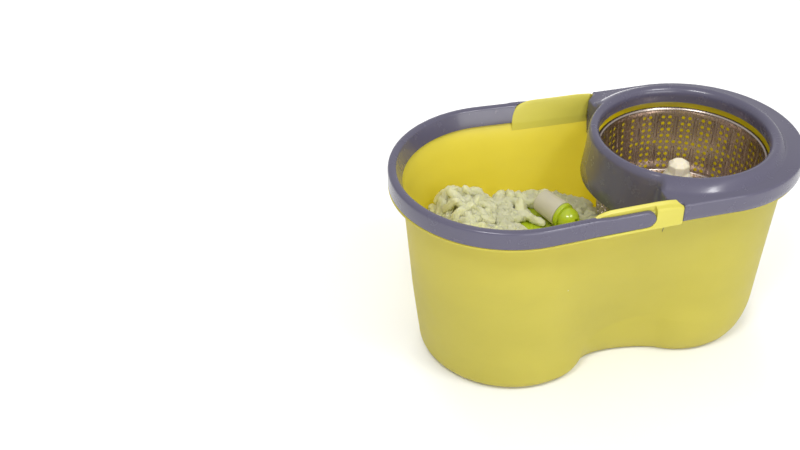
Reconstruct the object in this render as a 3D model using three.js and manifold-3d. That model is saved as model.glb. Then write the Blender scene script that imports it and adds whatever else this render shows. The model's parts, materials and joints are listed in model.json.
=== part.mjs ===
// A spin-mop bucket: an oval two-lobed tub with a carry handle, a snap-on splash guard, a spinning
// wringer basket on a fixed spindle, and the mop head that lies in the wash compartment.
// Millimetres, +Z up, +X towards the wringer, origin under the middle of the tub's base.
import * as THREE from "three";
import { mergeVertices } from "three/addons/utils/BufferGeometryUtils.js";
import Module from "manifold-3d";

// ---- driving dimensions ----

// Plan outlines: a round lobe at each end, joined on both sides by a concave arc of radius waist.
const RIM = { x1: -105.2, r1: 130, x2: 110.4, r2: 124.8, waist: 3400 };
const FOOT = { x1: -95.5, r1: 106, x2: 103.5, r2: 101.5, waist: 53 };

const wall = 2.5;
const foot = { radius: 14, wallTop: 212, wallInset: 15.5, sweepHeight: 46, sweepDepth: 20 };
const clearance = 0.3;

const shoulder = { x0: -60.3, x1: 44.4, footInset: 16.3, crestInset: 9.5, foot: 221, crest: 246.3 };
const ledge = { bottom: 217.8, top: 220.5, tuck: 2 };
const pivot = { x: 4.7, z: 230.8, pegRadius: 5, pegTip: 117, pegLength: 7, boreFloor: 116.4 };
const arm = { thickness: 5.5, radius: 9.4, capEnd: -60.9 };

const band = { bottom: 221.5, top: 241.6 };
const spin = { x: 103, ringInner: 93.6, ringTop: 251.4, footRadius: 115, deckHole: 104, skirtBottom: 190 };
const guardStart = 45;
const wing = { x: 32.6, thickness: 2.4, bottom: 198 };
const skirtHalfAngle = 50;
// Where a shoulder's end meets the guard's ear, as x and inset from the rim outline.
const meeting = [[32, 16.6], [39, 8.2], [44.4, 3.2]];

const floorTop = wall;
const tower = { flangeRadius: 40, flangeTop: 12.4, top: 130, screwCircle: 29 };
const shaft = { radius: 4, bottom: 58.4, top: 200 };
const drum = { floor: 139.8, sheet: 1.2, floorRadius: 88.8, wallTop: 219, rimRadius: 96.4, rimTop: 226.6 };
const hub = { bottom: 135.5, radius: 44 };
const column = { top: 209.6, boreTop: 202.6, bore: 9, flangeRadius: 42, screwCircle: 30 };

// The mop head lies tilted about Y; lean is the angle off vertical of its way out.
const head = {
  x: -37, y: -9, z: 136.5, tilt: 12, lean: 40,
  plateRadius: 65, ringRadius: 74, bossRadius: 52,
};
const knuckle = { height: 24.5, ballRadius: 13, heading: 116, tongue: 5, slot: 5.8 };
const sleeve = { start: 11.2, end: 42.8, rootRadius: 15.3, endRadius: 14, bore: 11 };
const strandGap = 3;
const wayOut = { x: -80, inset: 12, z: 243 };

const steps = { lobe: 18, waist: 5, drum: 40, ring: 56, small: 20, screw: 12 };

// ---- materials ----

const plastic = (color, roughness = 0.35) => new THREE.MeshStandardMaterial({ color, roughness });
const metal = (color, roughness = 0.25) =>
  new THREE.MeshStandardMaterial({ color, roughness, metalness: 1 });
const finish = {
  tub: plastic(0xd4c93c),
  trim: plastic(0x6b6a80, 0.25),
  steel: metal(0xb8b4ae),
  screw: metal(0xa8a8aa, 0.35),
  ivory: plastic(0xefe3c0),
  bush: plastic(0xf2f2ee, 0.5),
  lime: plastic(0xb9c832),
  sleeve: plastic(0xbdbcae, 0.5),
  strands: plastic(0xe6ecc8, 0.95),
};

// ---- solids ----

const wasm = await Module();
wasm.setup();

function solid(geometry) {
  const bare = geometry.clone();
  bare.deleteAttribute("normal");
  bare.deleteAttribute("uv");
  const merged = mergeVertices(bare, 1e-4);
  const corners = [];
  const index = merged.index.array;
  for (let i = 0; i < index.length; i += 3) {
    const [a, b, c] = index.slice(i, i + 3);
    if (a !== b && b !== c && c !== a) corners.push([a, b, c]);
  }
  const build = (triangles) =>
    new wasm.Manifold(
      new wasm.Mesh({
        numProp: 3,
        vertProperties: merged.attributes.position.array,
        triVerts: Uint32Array.from(triangles.flat()),
      }),
    );
  const made = build(corners);
  return made.volume() > 0 ? made : build(corners.map(([a, b, c]) => [a, c, b]));
}

// Edges shorter than this that a cut leaves are closed up.
const weld = 0.02;

function mesh(name, shape, material) {
  const { vertProperties, triVerts, numProp, numVert } = shape.simplify(weld).getMesh();
  const places = new Float32Array(numVert * 3);
  for (let i = 0; i < numVert; i++) {
    places.set(vertProperties.subarray(i * numProp, i * numProp + 3), i * 3);
  }
  const geometry = new THREE.BufferGeometry();
  geometry.setAttribute("position", new THREE.BufferAttribute(places, 3));
  geometry.setIndex(new THREE.BufferAttribute(triVerts, 1));
  const result = new THREE.Mesh(geometry, material);
  result.name = name;
  return result;
}

const pair = ([x, y]) => new THREE.Vector2(x, y);
const radians = THREE.MathUtils.degToRad;

// A closed profile of [radius, z] turned about the Z axis through (x, y).
function turned(profile, segments, x = 0, y = 0) {
  const outline = [...profile, profile[0]].map(pair);
  return solid(new THREE.LatheGeometry(outline, segments).rotateX(Math.PI / 2).translate(x, y, 0));
}

const rod = (radius, z0, z1, segments, x = 0, y = 0) =>
  turned([[0, z0], [radius, z0], [radius, z1], [0, z1]], segments, x, y);

// A plan polygon extruded from z0 to z1.
function prism(points, z0, z1) {
  const shape = new THREE.Shape(points.map(pair));
  const depth = z1 - z0;
  return solid(new THREE.ExtrudeGeometry(shape, { depth, bevelEnabled: false }).translate(0, 0, z0));
}

// A polygon of [x, z] extruded across Y from y0 to y1.
function slab(points, y0, y1) {
  const shape = new THREE.Shape(points.map(pair));
  const geometry = new THREE.ExtrudeGeometry(shape, { depth: y1 - y0, bevelEnabled: false });
  return solid(geometry.rotateX(Math.PI / 2).translate(0, y1, 0));
}

// Skins equal-length loops of points in order. A closed chain of loops joins up; an open one is capped.
function loft(loops, joined = false) {
  const n = loops[0].length;
  const places = loops.flat().flatMap((p) => [p.x, p.y, p.z]);
  const index = [];
  const bands = joined ? loops.length : loops.length - 1;
  for (let i = 0; i < bands; i++) {
    const j = (i + 1) % loops.length;
    for (let k = 0; k < n; k++) {
      const m = (k + 1) % n;
      index.push(i * n + k, i * n + m, j * n + m, i * n + k, j * n + m, j * n + k);
    }
  }
  if (!joined) {
    capFaces(loops[0]).forEach(([a, b, c]) => index.push(a, c, b));
    const last = (loops.length - 1) * n;
    capFaces(loops.at(-1)).forEach(([a, b, c]) => index.push(last + a, last + b, last + c));
  }
  const geometry = new THREE.BufferGeometry();
  geometry.setAttribute("position", new THREE.Float32BufferAttribute(places, 3));
  geometry.setIndex(index);
  return solid(geometry);
}

// Triangles that fill a flat loop, wound the way the loop runs.
function capFaces(loop) {
  const normal = new THREE.Vector3();
  loop.forEach((p, i) => normal.add(p.clone().cross(loop[(i + 1) % loop.length])));
  const toPlane = new THREE.Quaternion().setFromUnitVectors(
    normal.normalize(),
    new THREE.Vector3(0, 0, 1),
  );
  const flat = loop.map((p) => p.clone().applyQuaternion(toPlane));
  return THREE.ShapeUtils.triangulateShape(flat.map((p) => new THREE.Vector2(p.x, p.y)), []);
}

const mirrored = (shape) => shape.mirror([0, 1, 0]);
const join = (...shapes) => shapes.reduce((a, b) => a.add(b));
const cut = (shape, ...tools) => tools.reduce((a, b) => a.subtract(b), shape);
const mix = (a, b, t) => a + (b - a) * t;
const smooth = THREE.MathUtils.smoothstep;

// ---- the two-lobed outline ----

// The centre of the concave arc on the +Y side, and the angles at which it meets the two lobes.
function waistOf({ x1, r1, x2, r2, waist }) {
  const span = x2 - x1;
  const along = ((r1 + waist) ** 2 - (r2 + waist) ** 2 + span ** 2) / (2 * span);
  const y = Math.sqrt((r1 + waist) ** 2 - along ** 2);
  const x = x1 + along;
  return { x, y, t1: Math.atan2(y, along), t2: Math.atan2(y, x - x2) };
}

// n points of an arc, each with the direction that an inset moves it in.
function arc(x, y, radius, from, to, n, inward) {
  return Array.from({ length: n }, (_, i) => {
    const a = mix(from, to, i / n);
    const [c, s] = [Math.cos(a), Math.sin(a)];
    return { x: x + radius * c, y: y + radius * s, nx: inward * c, ny: inward * s };
  });
}

function outline(shape) {
  const w = waistOf(shape);
  return [
    ...arc(shape.x2, 0, shape.r2, -w.t2, w.t2, steps.lobe, -1),
    ...arc(w.x, w.y, shape.waist, w.t2 - Math.PI, w.t1 - Math.PI, steps.waist, 1),
    ...arc(shape.x1, 0, shape.r1, w.t1, 2 * Math.PI - w.t1, steps.lobe, -1),
    ...arc(w.x, -w.y, shape.waist, Math.PI - w.t1, Math.PI - w.t2, steps.waist, 1),
  ];
}

// The part of the outline round the -X lobe, from x = limit on the +Y side to the same x at -Y.
function lobePath(shape, limit) {
  const w = waistOf(shape);
  const start = -Math.acos((limit - w.x) / shape.waist);
  return [
    ...arc(w.x, w.y, shape.waist, start, w.t1 - Math.PI, 2, 1),
    ...arc(shape.x1, 0, shape.r1, w.t1, 2 * Math.PI - w.t1, steps.lobe, -1),
    ...arc(w.x, -w.y, shape.waist, Math.PI - w.t1, -start, 2, 1),
    ...arc(w.x, -w.y, shape.waist, -start, -start, 1, 1),
  ];
}

const inset = (path, d, z) => path.map((p) => new THREE.Vector3(p.x + p.nx * d, p.y + p.ny * d, z));
const flipX = (p) => ({ x: -p.x, y: p.y, nx: -p.nx, ny: p.ny });

// How far the rim outline, moved in by d, is from the X axis at x.
function halfWidth(x, d) {
  const w = waistOf(RIM);
  return w.y - Math.sqrt((RIM.waist + d) ** 2 - (x - w.x) ** 2);
}

// The strip of plan between two insets of the +Y side of the rim outline, from x0 to x1.
function sideStrip(outer, inner, x0, x1, z0, z1) {
  const xs = Array.from({ length: 7 }, (_, i) => mix(x0, x1, i / 6));
  const far = xs.map((x) => [x, halfWidth(x, outer)]);
  const near = xs.map((x) => [x, halfWidth(x, inner)]).reverse();
  return prism([...far, ...near], z0, z1);
}

// ---- tub ----

function makeTub() {
  const footPath = outline(FOOT);
  const rimPath = outline(RIM);
  // A place on the straight wall above point i of the foot outline.
  const wallPoint = (i, z, thickness) => {
    const [low] = inset([footPath[i]], thickness, z);
    const [high] = inset([rimPath[i]], foot.wallInset + thickness, z);
    return low.lerp(high, (z - foot.radius) / (foot.wallTop - foot.radius));
  };
  const turnTop = (x) => mix(foot.radius, foot.sweepHeight, smooth(x, -60, 40));
  // The wall at a share t of the way from the top of its turn to the rim.
  const wallAt = (t, thickness) =>
    footPath.map(({ x }, i) => wallPoint(i, mix(turnTop(x), foot.wallTop, t), thickness));
  // The wall turns in to the floor: a tight corner round the wash lobe, a tall sweep round the other.
  const corner = (angle, thickness) =>
    footPath.map(({ x }, i) => {
      const t = smooth(x, -60, 40);
      const height = turnTop(x);
      const depth = mix(foot.radius, foot.sweepDepth, t) - thickness;
      const place = wallPoint(i, height, thickness + depth * (1 - Math.sin(angle)));
      return place.setZ(height - (height - thickness) * Math.cos(angle));
    });
  const turns = [0, 20, 40, 60, 75, 90].map(radians);
  const wallSteps = [1, 2, 3, 4, 5, 6].map((k) => k / 6);
  // The rim's section: the wall flares out, folds over and drops to a ledge under the bands.
  const rimSection = [
    [11.2, 222], [7.4, 232], [5.6, 232], [5.6, ledge.bottom], [0, ledge.bottom], [0, ledge.top],
    [3, ledge.top], [3, 237], [4.5, 238.5], [7, 238.5], [7.9, 236], [13.6, 222],
  ];
  // The ledge stands out under the handle, and draws in under the guard's band.
  const rimLoop = (d, z) =>
    inset(rimPath, d, z).map((p, i) => {
      const t = d < ledge.tuck ? ledge.tuck * smooth(p.x, -60, 20) : 0;
      return p.add(new THREE.Vector3(rimPath[i].nx * t, rimPath[i].ny * t, 0));
    });
  const shell = loft([
    ...turns.map((a) => corner(a, 0)),
    ...wallSteps.map((t) => wallAt(t, 0)),
    ...rimSection.map(([d, z]) => rimLoop(d, z)),
    ...wallSteps.toReversed().map((t) => wallAt(t, wall)),
    ...turns.toReversed().map((a) => corner(a, wall)),
  ]);
  const block = makeShoulder();
  const boss = (x, y) => rod(5, 2, 9, steps.screw, x, y);
  const pilot = (x, y) => rod(2, 3.6, 12, steps.screw, x, y);
  const bosses = join(...screwSpots(3, tower.screwCircle).map(([x, y]) => boss(x, y)));
  const pilots = join(...screwSpots(3, tower.screwCircle).map(([x, y]) => pilot(x, y)));
  const cuts = shoulderCuts();
  return cut(join(shell, block, mirrored(block), bosses), cuts, mirrored(cuts), pilots);
}

// The +Y side of the rim carried up into a shoulder, crowned on top and sloping in to the tub's wall.
function makeShoulder() {
  const { x0, x1, footInset, crestInset, foot: low, crest: high } = shoulder;
  const face = (z) => mix(footInset, crestInset, (z - low) / (high - low));
  const tops = [
    [x0, 223.6], [-58.5, 231], [-55.5, 237], [-50.5, 241.3], [-42, 244.4], [-30, 246],
    [18, high], [34, 245.6], [x1, 244],
  ];
  const block = loft(
    tops.map(([x, top]) =>
      [
        [0, ledge.bottom], [0, mix(ledge.bottom, top, 0.78)], [1.4, mix(ledge.bottom, top, 0.83)],
        [5.6, mix(ledge.bottom, top, 0.88)], [8, top - 0.3], [face(top), top - 0.3],
        [face(top - 2.6), top - 2.6], [footInset, low - 0.5], [footInset + 0.2, ledge.bottom],
      ].map(([d, z]) => new THREE.Vector3(x, halfWidth(x, d), z)),
    ),
  );
  const beyond = meeting.map(([x, d]) => [x, halfWidth(x, d)]);
  const past = x1 + 2;
  return cut(block, prism([[meeting[0][0], 95], ...beyond, [past, 127], [past, 95]], 200, 260));
}

// The recess that the handle's arm lies in, the bore for its peg, and hollows from below.
function shoulderCuts() {
  const recessStart = shoulder.x0 - 2;
  const reach = arm.radius + 2 * clearance;
  const end = [-90, -60, -30, 0].map(radians).map((a) => {
    return [pivot.x + reach * Math.cos(a), pivot.z + reach * Math.sin(a)];
  });
  const top = 262;
  const side = slab([[recessStart, end[0][1]], ...end, [end[3][0], top], [recessStart, top]], 90, 140);
  const strip = sideStrip(-4, arm.thickness + 2 * clearance, recessStart, pivot.x + reach, 215, top);
  const bore = rod(pivot.pegRadius + clearance, 0, 20, steps.small)
    .rotate([-90, 0, 0])
    .translate([pivot.x, pivot.boreFloor, pivot.z]);
  const pockets = join(
    sideStrip(3, 12.5, 18, 29, 200, 229),
    sideStrip(3, 8.4, 18, 29, 228, 239),
    sideStrip(8.6, 12.5, -46, -14, 200, 229),
  );
  return join(side.intersect(strip), bore, pockets);
}

// Places on a circle round the spindle.
function screwSpots(count, radius) {
  return Array.from({ length: count }, (_, i) => {
    const a = (2 * Math.PI * (i + 0.5)) / count;
    return [spin.x + radius * Math.cos(a), radius * Math.sin(a)];
  });
}

// ---- carry handle ----

function makeHandle() {
  // A cap that covers the rim of the wash lobe: outer face, rounded top and a lip down the inside.
  const section = [
    [0, band.bottom], [0, 238.8], [1, 240.8], [3.2, band.top], [7, band.top], [8.8, 240.4],
    [16.2, 222.8], [15.2, 222], [14.4, 222.6], [8.4, 237.4], [7.2, 239.1], [3.4, 239.1],
    [2.5, 238.2], [2.5, band.bottom],
  ];
  const path = lobePath(RIM, arm.capEnd);
  const cap = loft(
    path.map((p) => section.map(([d, z]) => new THREE.Vector3(p.x + p.nx * d, p.y + p.ny * d, z))),
  );
  const end = Array.from({ length: 9 }, (_, i) => {
    const a = radians(-90 + 22.5 * i);
    return [pivot.x + arm.radius * Math.cos(a), pivot.z + arm.radius * Math.sin(a)];
  });
  const root = arm.capEnd - 3;
  const tip = pivot.x + arm.radius + 1;
  const side = slab([[root, band.bottom + 0.1], ...end, [root, band.top]], 90, 140);
  const plate = side.intersect(sideStrip(0, arm.thickness, arm.capEnd - clearance, tip, 215, 250));
  const tongue = side.intersect(sideStrip(0.2, 2.3, root, arm.capEnd + 1, 215, 239));
  const peg = rod(pivot.pegRadius, 0, pivot.pegLength, steps.small)
    .rotate([-90, 0, 0])
    .translate([pivot.x, pivot.pegTip, pivot.z]);
  const half = join(plate, tongue, peg);
  return join(cap, half, mirrored(half));
}

// ---- splash guard ----

function makeGuard() {
  // The band over the rim of the wringer lobe.
  const section = [
    [0, band.bottom], [0, 238.8], [1, 240.8], [3.2, band.top], [7, band.top], [7, 239.2],
    [3.4, 239.2], [2.5, 238.2], [2.5, band.bottom],
  ];
  const turnedRound = { ...RIM, x1: -RIM.x2, r1: RIM.r2, x2: -RIM.x1, r2: RIM.r1 };
  const path = lobePath(turnedRound, -guardStart).map(flipX);
  const cap = loft(
    path.map((p) => section.map(([d, z]) => new THREE.Vector3(p.x + p.nx * d, p.y + p.ny * d, z))),
  );

  // The deck between the band and the ring, with two ears that reach past the shoulders' inside.
  const deckEdge = inset(path, 5, 0).map((p) => [p.x, p.y]);
  const ear = meeting.map(([x, d]) => [x + 2 * clearance, halfWidth(x, d + 3 * clearance)]);
  const earY = ear[0][1];
  const farEar = ear.toReversed().map(([x, y]) => [x, -y]);
  const hole = rod(spin.deckHole, 230, 250, steps.ring, spin.x);
  const deck = cut(prism([...deckEdge, ...farEar, ...ear], 239.2, band.top - 0.1), hole);

  // The raised ring: on the wash side its outer face runs down into a deep skirt.
  const wash = [
    [111, spin.skirtBottom], [109.2, 206], [107.4, 224], [106.4, 238], [105.2, 245], [102.6, 249.4],
    [99, spin.ringTop], [95.4, 251], [spin.ringInner, 248.6], [spin.ringInner + 1.2, 232],
    [97, 232], [95.9, 247], [97.2, 248.9], [99.2, 249], [102, 247], [103.8, 242],
    [104.8, 224], [106.6, 206], [108.6, spin.skirtBottom],
  ];
  const dry = [
    [112.8, 239.2], [113.8, 239.6], [114.6, 240.2], [spin.footRadius, 241.2], [112.4, 244.4],
    [107, 248.9], [99, spin.ringTop], [95.4, 251], [spin.ringInner, 248.6],
    [spin.ringInner + 1.2, 232], [97, 232], [95.9, 247], [97.2, 248.9], [105.6, 246.8],
    [110.4, 242.9], [111.6, 240.4], [111.9, 239.9], [112.1, 239.6], [112.4, 239.35],
  ];
  const ring = loft(
    Array.from({ length: steps.ring }, (_, i) => {
      const a = (2 * Math.PI * (i + 0.5)) / steps.ring;
      const fromWash = 180 - Math.abs(THREE.MathUtils.radToDeg(a) - 180);
      const t = smooth(fromWash, skirtHalfAngle - 3, skirtHalfAngle + 3);
      return wash.map(([r, z], k) => {
        const radius = mix(r, dry[k][0], t);
        return new THREE.Vector3(
          spin.x - radius * Math.cos(a),
          -radius * Math.sin(a),
          mix(z, dry[k][1], t),
        );
      });
    }),
    true,
  );

  // Each wing closes the gap between the skirt and the tub's side.
  const wingFace = [
    [80.6, 215], [83, wing.bottom], [103.6, wing.bottom], [106.2, 214],
    [earY, 222], [earY, 240.5], [77.9, 240.5],
  ];
  const wingPlate = slab(wingFace, 0, wing.thickness)
    .rotate([0, 0, 90])
    .translate([wing.x + wing.thickness, 0, 0]);
  return join(ring, deck, cap, wingPlate, mirrored(wingPlate));
}

// ---- wringer: fixed spindle and turning basket ----

function spindleParts() {
  const body = turned(
    [
      [0, 58], [shaft.radius + clearance, 58], [shaft.radius + clearance, tower.top],
      [9.5, tower.top], [11, 127], [13, 60], [16, 22], [22, tower.flangeTop],
      [tower.flangeRadius, tower.flangeTop], [tower.flangeRadius, floorTop + 0.4],
      [37.6, floorTop + 0.4], [37.6, 9.4], [19.5, 9.4], [13.4, 22], [10.4, 52], [0, 52],
    ],
    steps.small,
    spin.x,
  );
  const spots = screwSpots(3, tower.screwCircle);
  const holes = spots.map(([x, y]) => rod(2, 8, 14, steps.screw, x, y));
  const screws = spots.map(([x, y], i) => {
    const shape = screw(x, y, 4.2, tower.flangeTop + clearance, 2.2, 4);
    return mesh(`tower_screw_${i + 1}`, shape, finish.screw);
  });
  const ringOn = (inner, outer, z0, z1) =>
    turned([[inner, z0], [outer, z0], [outer, z1], [inner, z1]], steps.small, spin.x);
  const bore = shaft.radius + clearance;
  const pole = rod(shaft.radius, shaft.bottom, shaft.top, steps.small, spin.x);
  return [
    mesh("spindle_tower", cut(body, ...holes), finish.tub),
    ...screws,
    mesh("spindle_shaft", pole, finish.steel),
    mesh("thrust_washer", ringOn(bore, 11, tower.top + 0.4, tower.top + 1.8), finish.steel),
    mesh("retaining_ring", ringOn(bore, 7.5, shaft.top - 6.8, shaft.top - 5), finish.screw),
  ];
}

// A pan-head screw with its head on top of z when height is positive, or hanging below it.
function screw(x, y, head, z, height, tip) {
  const radius = 1.7;
  const profile = [
    [0, z + height], [head * 0.7, z + height], [head, z + height * 0.4], [head, z],
    [radius, z], [radius, tip], [0, tip],
  ];
  return turned(profile, steps.screw, x, y);
}

function basketParts() {
  const { floor, sheet, floorRadius, wallTop, rimRadius, rimTop } = drum;
  const shell = turned(
    [
      [12, floor], [floorRadius - 4, floor], [floorRadius - 1, 141], [floorRadius, 143.4],
      [92.2, wallTop], [95.2, wallTop + 1.6], [rimRadius, wallTop + 4], [95.4, rimTop - 1],
      [93.4, rimTop], [91.6, rimTop - 1], [91, wallTop + 4], [91, wallTop],
      [floorRadius - sheet, 143.8], [floorRadius - 2, 142], [floorRadius - 4.4, floor + sheet],
      [12, floor + sheet],
    ],
    steps.drum,
    spin.x,
  );
  const base = floor + sheet + 0.4;
  const dome = turned(
    [
      [0, column.top], [6, 209.2], [10, 207.4], [12, 204], [12.4, 198], [13.6, 194.6], [17, 186],
      [20, 178], [24.5, 160], [30, 149], [38, 145.2], [column.flangeRadius, 144.4],
      [column.flangeRadius, base], [25, base], [21.5, 160], [16.8, 177], [14, 184], [12, 184],
      [11.5, base], [column.bore, base], [column.bore, column.boreTop], [0, column.boreTop + 0.6],
    ],
    24,
    spin.x,
  );
  const hubTop = floor - 0.4;
  const plate = turned(
    [[column.bore, hub.bottom], [hub.radius, hub.bottom], [hub.radius, hubTop], [column.bore, hubTop]],
    24,
    spin.x,
  );
  const spots = screwSpots(4, column.screwCircle);
  const holes = spots.map(([x, y]) => rod(2, 130, 143.4, steps.screw, x, y));
  const bush = (z0, z1) => {
    const inner = shaft.radius + clearance;
    const outer = column.bore - clearance;
    return turned([[inner, z0], [outer, z0], [outer, z1], [inner, z1]], steps.small, spin.x);
  };
  const screws = spots.map(([x, y], i) =>
    mesh(`basket_screw_${i + 1}`, screw(x, y, 3.8, hub.bottom - clearance, -2, 142.9), finish.screw),
  );
  return [
    mesh("basket_drum", cut(shell, ...holes), finish.steel),
    mesh("centre_column", cut(dome, ...holes), finish.ivory),
    mesh("hub_plate", cut(plate, ...holes), finish.bush),
    mesh("lower_bush", bush(132.2, 150), finish.bush),
    mesh("upper_bush", bush(183, shaft.top - 7.2), finish.bush),
    ...screws,
  ];
}

// ---- mop head, built flat round its own centre ----

function headParts() {
  const { plateRadius: plate, ringRadius: ring } = head;
  const spigot = 9;
  const plateShape = turned(
    [
      [spigot + clearance, -1], [16, -1], [16, -5.6], [head.bossRadius, -5.6], [head.bossRadius, -1],
      [plate - 2, -1], [plate, 0.4], [plate - 4, 3], [22, 3.6], [19, 6], [spigot + clearance, 6],
    ],
    32,
  );
  const hole = head.bossRadius + 0.4;
  const ringShape = turned(
    [[hole, -6], [ring - 1, -6], [ring, -5], [ring, -2.6], [ring - 1.4, -1.4], [hole, -1.4]],
    32,
  );
  const yokeBody = turned(
    [[0, -1.2], [spigot, -1.2], [spigot, 6.4], [12, 6.4], [12, 7.6], [11, 8.4], [0, 8.4]],
    steps.small,
  );
  const t = knuckle.tongue / 2;
  const tongueSide = [[-6, 8], [6, 8]];
  for (let i = 0; i <= 6; i++) {
    const a = radians(30 * i);
    tongueSide.push([6 * Math.cos(a), knuckle.height + 6 * Math.sin(a)]);
  }
  const heading = [0, 0, knuckle.heading];
  const pinBore = rod(2.3, -20, 20, steps.screw).rotate([90, 0, 0]).translate([0, 0, knuckle.height]);
  const screwBore = rod(2, -3, 4.4, steps.screw);
  const yokeShape = cut(join(yokeBody, slab(tongueSide, -t, t)), pinBore, screwBore);
  const washer = turned([[2.2, -3.2], [13, -3.2], [13, -1.5], [2.2, -1.5]], steps.small);
  return {
    plate: [
      mesh("mop_plate", plateShape, finish.lime),
      mesh("strand_ring", ringShape, finish.bush),
    ],
    yoke: [
      mesh("swivel_yoke", yokeShape.rotate(heading), finish.lime),
      mesh("swivel_washer", washer, finish.steel),
      mesh("swivel_screw", screw(0, 0, 4, -3.5, -2, 3.8), finish.screw),
    ],
    socket: socketParts().map((part) => part.rotateZ(radians(knuckle.heading))),
  };
}

// The knuckle and pole socket, lying along +X from the pin, which runs along Y.
function socketParts() {
  const { ballRadius: ball, slot, height } = knuckle;
  const lie = (shape) => shape.rotate([0, 90, 0]).translate([0, 0, height]);
  const profile = [];
  for (let i = 0; i <= 8; i++) {
    const a = radians(15 * i);
    profile.push([ball * Math.sin(a), -ball * Math.cos(a)]);
  }
  profile.push([14.6, 6.6], [14.6, 10.6], [10.4, 10.9], [10.4, 22], [0, 22]);
  const ballShape = lie(turned(profile, steps.small));
  // The slot is open to the tip and to the plate's side, so the socket can rise upright.
  const s = slot / 2;
  const [low, high, tip] = [height - 20, height + 6.5, -20];
  const opening = slab([[tip, low], [6.5, low], [6.5, high], [tip, high]], -s, s);
  const pinBore = rod(2.3, -20, 20, steps.screw).rotate([90, 0, 0]).translate([0, 0, height]);
  const { start, end, rootRadius, endRadius, bore } = sleeve;
  const tubeProfile = [
    [10.7, start], [rootRadius - 0.7, start], [rootRadius, start + 1.2], [endRadius, end - 1],
    [endRadius - 0.8, end], [bore, end], [bore, 23], [10.7, 22.4],
  ];
  const tube = lie(turned(tubeProfile, 24));
  const pin = rod(2, -12, 12, steps.screw).rotate([90, 0, 0]).translate([0, 0, height]);
  return [
    mesh("socket_knuckle", cut(ballShape, opening, pinBore), finish.lime),
    mesh("socket_sleeve", tube, finish.sleeve),
    mesh("knuckle_pin", pin, finish.steel),
  ];
}

// The wet strands as one soft heap, leaning the way the head is lifted out, with room for the head.
function makeStrands() {
  const slope = Math.tan(radians(head.lean));
  const oval = (z, x, halfX, halfY) =>
    Array.from({ length: 28 }, (_, i) => {
      const a = (2 * Math.PI * i) / 28;
      const bump = 1 + 0.035 * Math.sin(5 * a + z / 9);
      return new THREE.Vector3(x + halfX * bump * Math.cos(a), halfY * bump * Math.sin(a), z);
    });
  // Each slice: height, centre along X, and half widths along X and Y.
  const slices = [
    [floorTop + strandGap, 14, 34, 36],
    [14, 12, 42, 46],
    [45, 1, 56, 58],
    [85, -19, 68, 72],
    [115, -44, 68, 80],
    [140, -68, 66, 82],
    [156, -86, 58, 74],
    [166, -98, 42, 54],
  ];
  const heap = loft(slices.map(([z, x, halfX, halfY]) => oval(z, x, halfX, halfY)));
  // The way out: the mouth of the wash side, left of the basket, followed down against the lift.
  const mouth = inset(lobePath(RIM, wayOut.x), wayOut.inset, wayOut.z);
  const drop = new THREE.Vector3(slope, 0, -1).multiplyScalar(wayOut.z);
  const way = loft([mouth.map((p) => p.clone().add(drop)), mouth]);
  const room = rod(head.ringRadius + 4, -6.9, 90, 28)
    .rotate([0, head.tilt, 0])
    .translate([head.x, head.y, head.z]);
  return cut(heap.intersect(way), room);
}

// ---- assembly ----

const assembly = new THREE.Group();
assembly.add(
  mesh("tub", makeTub(), finish.tub),
  mesh("splash_guard", makeGuard(), finish.trim),
  mesh("carry_handle", makeHandle(), finish.trim),
  ...spindleParts(),
  ...basketParts(),
  mesh("mop_strands", makeStrands(), finish.strands),
);

const headGroup = new THREE.Group();
headGroup.position.set(head.x, head.y, head.z);
headGroup.rotation.y = radians(head.tilt);
const { plate, yoke, socket } = headParts();
headGroup.add(...plate, ...yoke, ...socket);
assembly.add(headGroup);

export default assembly;
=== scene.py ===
import json
import math
import random

import bmesh
import bpy
from mathutils import Matrix, Quaternion, Vector, noise


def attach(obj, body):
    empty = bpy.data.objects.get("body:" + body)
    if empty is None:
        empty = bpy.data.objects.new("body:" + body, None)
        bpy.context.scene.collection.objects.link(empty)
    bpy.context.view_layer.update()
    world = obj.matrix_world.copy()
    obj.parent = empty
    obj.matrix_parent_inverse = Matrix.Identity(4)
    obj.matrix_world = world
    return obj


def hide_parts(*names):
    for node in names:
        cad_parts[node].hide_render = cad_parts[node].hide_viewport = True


# The looks of a spin-mop bucket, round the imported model. Sizes below are in millimetres, and
# piece() turns them into metres.
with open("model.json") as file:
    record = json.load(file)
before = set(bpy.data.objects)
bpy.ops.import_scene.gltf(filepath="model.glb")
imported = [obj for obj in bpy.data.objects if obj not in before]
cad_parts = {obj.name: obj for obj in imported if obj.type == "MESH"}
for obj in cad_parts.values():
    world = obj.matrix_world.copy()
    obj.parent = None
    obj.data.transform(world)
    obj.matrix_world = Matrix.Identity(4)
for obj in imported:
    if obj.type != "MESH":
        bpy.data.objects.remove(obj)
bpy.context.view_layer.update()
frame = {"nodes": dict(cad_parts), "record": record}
MM = 0.001

RIM = {"x1": -105.2, "r1": 130.0, "x2": 110.4, "r2": 124.8, "waist": 3400.0}
FOOT = {"x1": -95.5, "r1": 106.0, "x2": 103.5, "r2": 101.5, "waist": 53.0}
WALL = 2.5
FOOT_RADIUS = 14.0
WALL_TOP = 212.0
WALL_INSET = 15.5
# How far in the wringer lobe's foot sweeps, how sharply it meets the wall, and how far the wall
# bulges there.
SWEEP_DEPTH, CREASE, BULGE = 18.5, 0.15, 1.5
SHOULDER = {"x0": -60.3, "x1": 44.5, "rise": 30.3, "foot": 221.0, "start": 223.6, "crest": 246.3}
LEDGE_BOTTOM = 217.8
PIVOT_X, PIVOT_Z = 4.7, 230.8
PEG = {"radius": 5.0, "length": 7.0, "start": 117.0}
ARM = {"thickness": 5.5, "radius": 9.4, "start": -61.0}
BAND_BOTTOM, BAND_TOP = 221.5, 241.6
SPIN_X = 103.0
GUARD_START = 45.1
SKIRT, SKIRT_BOTTOM, WING_BOTTOM, DECK = 106.4, 190.0, 198.0, 241.5
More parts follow.
